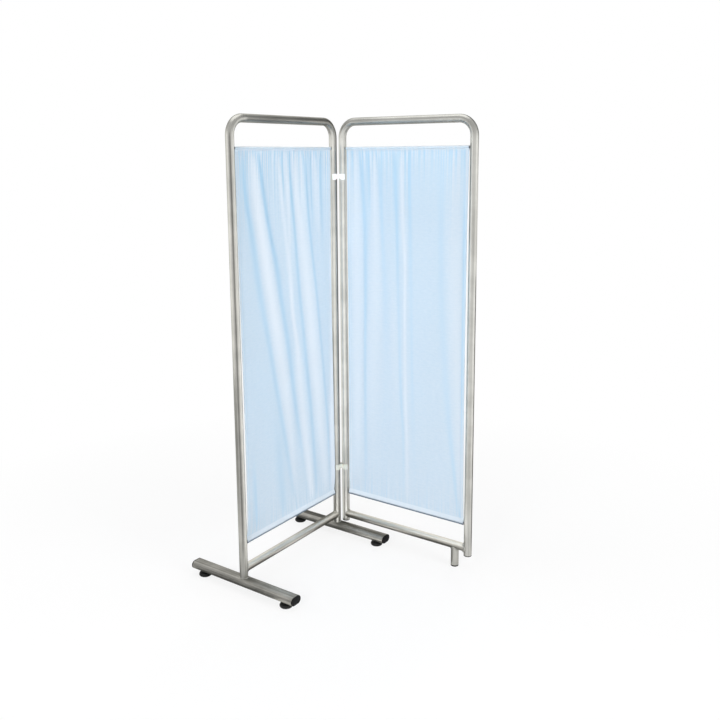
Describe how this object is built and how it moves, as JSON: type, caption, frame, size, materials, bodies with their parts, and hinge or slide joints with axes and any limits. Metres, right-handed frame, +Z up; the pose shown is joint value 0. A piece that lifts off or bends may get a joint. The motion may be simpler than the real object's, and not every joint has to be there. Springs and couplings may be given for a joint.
{
  "type": "folding ward privacy screen",
  "caption": "Free-standing folding ward screen: a steel tube panel on foot bars with a hinged wing panel, each with a light blue curtain between rods.",
  "frame": {"origin": "on the floor, under the middle of the box of the screen as pictured, with its wing at a right angle to the main panel", "axes": "+Z up, +X along the main panel from its outer leg to the leg that carries the wing, the wing pointing along -Y"},
  "size_m": [0.6378, 0.8558, 1.7],
  "materials": {
    "steel_tube": "satin",
    "steel_rod": "satin",
    "fastener_steel": "satin",
    "black_plastic": "matte",
    "black_rubber": "matte",
    "white_plastic": "satin",
    "grey_plastic": "satin",
    "blue_cloth": "matte"
  },
  "bodies": {
    "main_panel": {"main_frame_tube": "steel_tube", "main_bottom_rail": "steel_tube", "main_top_rod": "steel_rod", "main_bottom_rod": "steel_rod", "main_curtain": "blue_cloth", "main_upper_clip_rivet": "fastener_steel", "main_lower_clip_rivet": "fastener_steel", "outer_foot_bar": "steel_tube", "outer_leg_nut": "fastener_steel", "outer_foot_bolt": "fastener_steel", "outer_front_foot_cap": "black_plastic", "outer_rear_foot_cap": "black_plastic", "outer_front_glide_nut": "fastener_steel", "outer_rear_glide_nut": "fastener_steel", "inner_foot_bar": "steel_tube", "inner_leg_nut": "fastener_steel", "inner_foot_bolt": "fastener_steel", "inner_front_foot_cap": "black_plastic", "inner_rear_foot_cap": "black_plastic", "inner_front_glide_nut": "fastener_steel", "inner_rear_glide_nut": "fastener_steel"},
    "hinge_clips": {"upper_hinge_clip": "white_plastic", "lower_hinge_clip": "grey_plastic"},
    "wing_panel": {"wing_frame_tube": "steel_tube", "wing_bottom_rail": "steel_tube", "wing_top_rod": "steel_rod", "wing_bottom_rod": "steel_rod", "wing_curtain": "blue_cloth", "wing_upper_clip_rivet": "fastener_steel", "wing_lower_clip_rivet": "fastener_steel", "wing_inner_leg_plug": "black_plastic", "wing_outer_leg_plug": "black_plastic", "wing_stub_leg": "steel_tube", "wing_stub_foot": "black_rubber"},
    "outer_front_foot": {"outer_front_glide": "black_rubber", "outer_front_glide_stem": "fastener_steel"},
    "outer_rear_foot": {"outer_rear_glide": "black_rubber", "outer_rear_glide_stem": "fastener_steel"},
    "inner_front_foot": {"inner_front_glide": "black_rubber", "inner_front_glide_stem": "fastener_steel"},
    "inner_rear_foot": {"inner_rear_glide": "black_rubber", "inner_rear_glide_stem": "fastener_steel"}
  },
  "joints": [
    {"name": "clips_on_main_leg", "type": "hinge", "parent": "main_panel", "child": "hinge_clips", "pos_m": [0.27611, 0.18393, 0.8845], "axis": [0, 0, 1], "range_deg": [-45, 135]},
    {"name": "wing_on_clips", "type": "hinge", "parent": "hinge_clips", "child": "wing_panel", "pos_m": [0.30298, 0.15707, 0.8845], "axis": [0, 0, 1], "range_deg": [-45, 135]},
    {"name": "outer_front_glide_screw", "type": "hinge", "parent": "main_panel", "child": "outer_front_foot", "pos_m": [-0.29389, -0.01406, 0.0204], "axis": [0, 0, 1], "continuous": true},
    {"name": "outer_rear_glide_screw", "type": "hinge", "parent": "main_panel", "child": "outer_rear_foot", "pos_m": [-0.29389, 0.38194, 0.0204], "axis": [0, 0, 1], "continuous": true},
    {"name": "inner_front_glide_screw", "type": "hinge", "parent": "main_panel", "child": "inner_front_foot", "pos_m": [0.27611, -0.01406, 0.0204], "axis": [0, 0, 1], "continuous": true},
    {"name": "inner_rear_glide_screw", "type": "hinge", "parent": "main_panel", "child": "inner_rear_foot", "pos_m": [0.27611, 0.38194, 0.0204], "axis": [0, 0, 1], "continuous": true}
  ]
}
